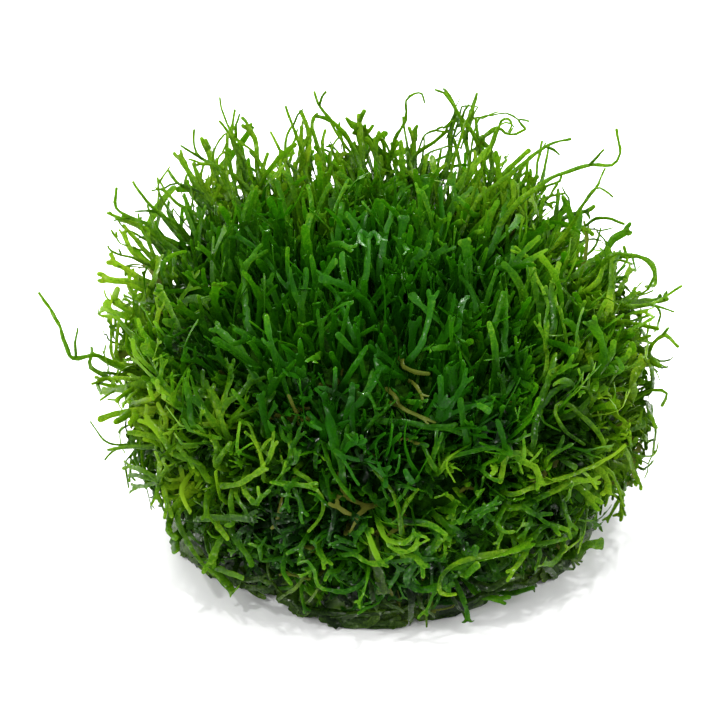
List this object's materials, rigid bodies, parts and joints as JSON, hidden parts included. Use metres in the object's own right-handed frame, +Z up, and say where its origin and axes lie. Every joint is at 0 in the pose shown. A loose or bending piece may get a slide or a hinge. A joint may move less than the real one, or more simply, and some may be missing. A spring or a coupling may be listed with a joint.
{
  "type": "crystalwort clump",
  "caption": "Squat rounded cushion of tangled, forked green water-plant ribbons, with stray ribbons standing clear of it; rests on a flat spot underneath.",
  "frame": {"origin": "middle of the flat spot that the clump rests on", "axes": "+Z up out of the crown, -Y to the front as pictured, +X to the viewer's right"},
  "size_m": [0.098, 0.0887, 0.0572],
  "materials": {
    "cushion_green": "wet living plant tissue, dark between the ribbons and bright at their tips",
    "ribbon_green": "wet translucent yellow-green plant tissue",
    "old_ribbon_tan": "old olive-tan plant tissue, wet",
    "pressed_ribbon_brown": "dark wet plant tissue pressed flat under the clump"
  },
  "bodies": {
    "root": {"cushion": "cushion_green", "stray_shoulder_left_low": "ribbon_green", "stray_shoulder_left": "ribbon_green", "stray_shoulder_left_high": "ribbon_green", "stray_crown_left": "ribbon_green", "stray_crown_mid_left": "ribbon_green", "stray_crown_fork": "ribbon_green", "stray_crown_hook": "ribbon_green", "stray_crown_cross_left": "ribbon_green", "stray_crown_cross_right": "ribbon_green", "stray_crown_wavy": "ribbon_green", "stray_crown_curl": "ribbon_green", "stray_shoulder_right": "ribbon_green", "stray_right_elbow": "ribbon_green", "stray_right_hook": "ribbon_green", "stray_left_wisp": "ribbon_green", "stray_left_low_hook": "ribbon_green", "stray_left_fork": "ribbon_green", "stray_right_arch": "ribbon_green", "stray_right_reach": "ribbon_green", "stray_right_knee": "ribbon_green", "stray_right_low_hook": "ribbon_green", "stray_right_tail": "ribbon_green", "ribbon_right_loop": "ribbon_green", "ribbon_right_long": "ribbon_green", "ribbon_front_curl": "ribbon_green", "ribbon_front_elbow": "ribbon_green", "ribbon_front_fork": "ribbon_green", "ribbon_left_strap": "ribbon_green", "old_ribbon_bend": "old_ribbon_tan", "pressed_ribbon_upper": "pressed_ribbon_brown", "pressed_ribbon_lower": "pressed_ribbon_brown"}
  },
  "joints": []
}
